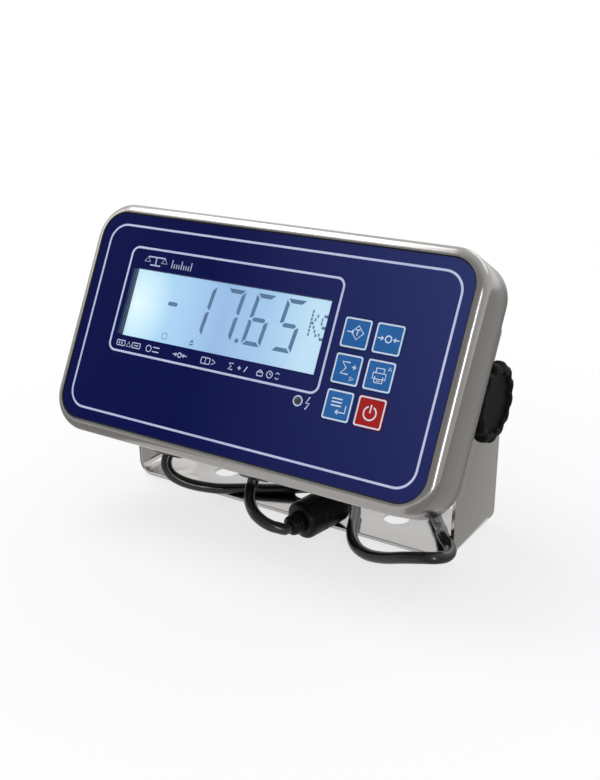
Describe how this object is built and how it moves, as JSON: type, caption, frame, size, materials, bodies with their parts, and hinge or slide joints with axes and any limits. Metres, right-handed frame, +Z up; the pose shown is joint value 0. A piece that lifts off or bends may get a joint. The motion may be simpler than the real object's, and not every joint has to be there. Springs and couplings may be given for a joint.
{
  "type": "weighing indicator",
  "caption": "Bench weighing indicator: steel head with backlit display and keypad, tilting between the arms of a U bracket with hand knobs, with leads.",
  "frame": {"origin": "centre of the underside of the bracket's base, on the table", "axes": "+X to the right seen from the front and along the tilt axis, +Y to the back, +Z up and square to the bracket's base"},
  "size_m": [0.222, 0.2036, 0.1542],
  "materials": {
    "polished_steel": "satin",
    "housing_steel": "brushed",
    "hardware_steel": "satin",
    "knob_plastic": "matte",
    "rubber": "matte",
    "gland_plastic": "matte",
    "overlay": "satin",
    "keys_blue": "satin",
    "key_red": "satin",
    "spacer": "satin",
    "circuit": "satin",
    "window": "clear",
    "led": "clear",
    "lcd_glass": "clear",
    "backlight": "satin",
    "white_plastic": "matte",
    "board": "satin",
    "black_parts": "matte",
    "capacitors": "satin",
    "battery_case": "matte",
    "contacts": "satin",
    "red_wire": "satin",
    "cable": "satin",
    "plug_metal": "polished",
    "connector_black": "satin"
  },
  "bodies": {
    "stand": {"bracket": "polished_steel", "arm_washers": "hardware_steel", "signal_lead": "cable", "connector_nut": "connector_black", "connector_shell": "connector_black", "connector_insert": "black_parts", "connector_pins": "contacts", "power_lead": "cable", "power_lead_coil": "cable", "power_lead_tail": "cable", "coil_tie": "black_parts", "power_plug": "connector_black", "plug_tip": "plug_metal"},
    "head": {"front_shell": "housing_steel", "rear_case": "housing_steel", "rear_gasket": "rubber", "cover_screws": "hardware_steel", "cover_nuts": "hardware_steel", "pivot_nuts": "hardware_steel", "friction_washers": "rubber", "gland_bodies": "gland_plastic", "gland_locknuts": "gland_plastic", "gland_seals": "rubber", "gland_nuts": "gland_plastic", "face_overlay": "overlay", "keypad_spacer": "spacer", "keypad_circuit": "circuit", "snap_domes": "hardware_steel", "keypad_tail": "circuit", "keypad_socket": "white_plastic", "display_window": "window", "charge_led": "led", "lcd_glass": "lcd_glass", "lcd_backlight": "backlight", "lcd_frame": "white_plastic", "lcd_strip": "rubber", "main_board": "board", "board_standoffs": "hardware_steel", "board_screws": "hardware_steel", "board_chips": "black_parts", "board_capacitors": "capacitors", "buzzer": "black_parts", "board_headers": "white_plastic", "battery": "battery_case", "battery_terminals": "contacts", "battery_tray": "hardware_steel", "battery_strap": "hardware_steel", "battery_wires": "red_wire", "inner_leads": "cable"},
    "left_knob": {"left_knob": "knob_plastic", "left_knob_stud": "hardware_steel"},
    "right_knob": {"right_knob": "knob_plastic", "right_knob_stud": "hardware_steel"},
    "key_tare": {"key_tare": "keys_blue"},
    "key_zero": {"key_zero": "keys_blue"},
    "key_sum": {"key_sum": "keys_blue"},
    "key_print": {"key_print": "keys_blue"},
    "key_menu": {"key_menu": "keys_blue"},
    "key_power": {"key_power": "key_red"}
  },
  "joints": [
    {"name": "head_tilt", "type": "hinge", "parent": "stand", "child": "head", "pos_m": [0, 0, 0.077], "axis": [1, 0, 0], "range_deg": [-30, 16], "deforming": ["signal_lead", "power_lead"]},
    {"name": "left_knob_turn", "type": "hinge", "parent": "stand", "child": "left_knob", "pos_m": [-0.1, 0, 0.077], "axis": [-1, 0, 0], "continuous": true},
    {"name": "right_knob_turn", "type": "hinge", "parent": "stand", "child": "right_knob", "pos_m": [0.1, 0, 0.077], "axis": [1, 0, 0], "continuous": true},
    {"name": "key_tare_press", "type": "slide", "parent": "head", "child": "key_tare", "axis": [0, 0.8809, -0.4733], "range_m": [0, 0.0004], "stiffness_N_per_m": 2000},
    {"name": "key_zero_press", "type": "slide", "parent": "head", "child": "key_zero", "axis": [0, 0.8809, -0.4733], "range_m": [0, 0.0004], "stiffness_N_per_m": 2000},
    {"name": "key_sum_press", "type": "slide", "parent": "head", "child": "key_sum", "axis": [0, 0.8809, -0.4733], "range_m": [0, 0.0004], "stiffness_N_per_m": 2000},
    {"name": "key_print_press", "type": "slide", "parent": "head", "child": "key_print", "axis": [0, 0.8809, -0.4733], "range_m": [0, 0.0004], "stiffness_N_per_m": 2000},
    {"name": "key_menu_press", "type": "slide", "parent": "head", "child": "key_menu", "axis": [0, 0.8809, -0.4733], "range_m": [0, 0.0004], "stiffness_N_per_m": 2000},
    {"name": "key_power_press", "type": "slide", "parent": "head", "child": "key_power", "axis": [0, 0.8809, -0.4733], "range_m": [0, 0.0004], "stiffness_N_per_m": 2000}
  ]
}
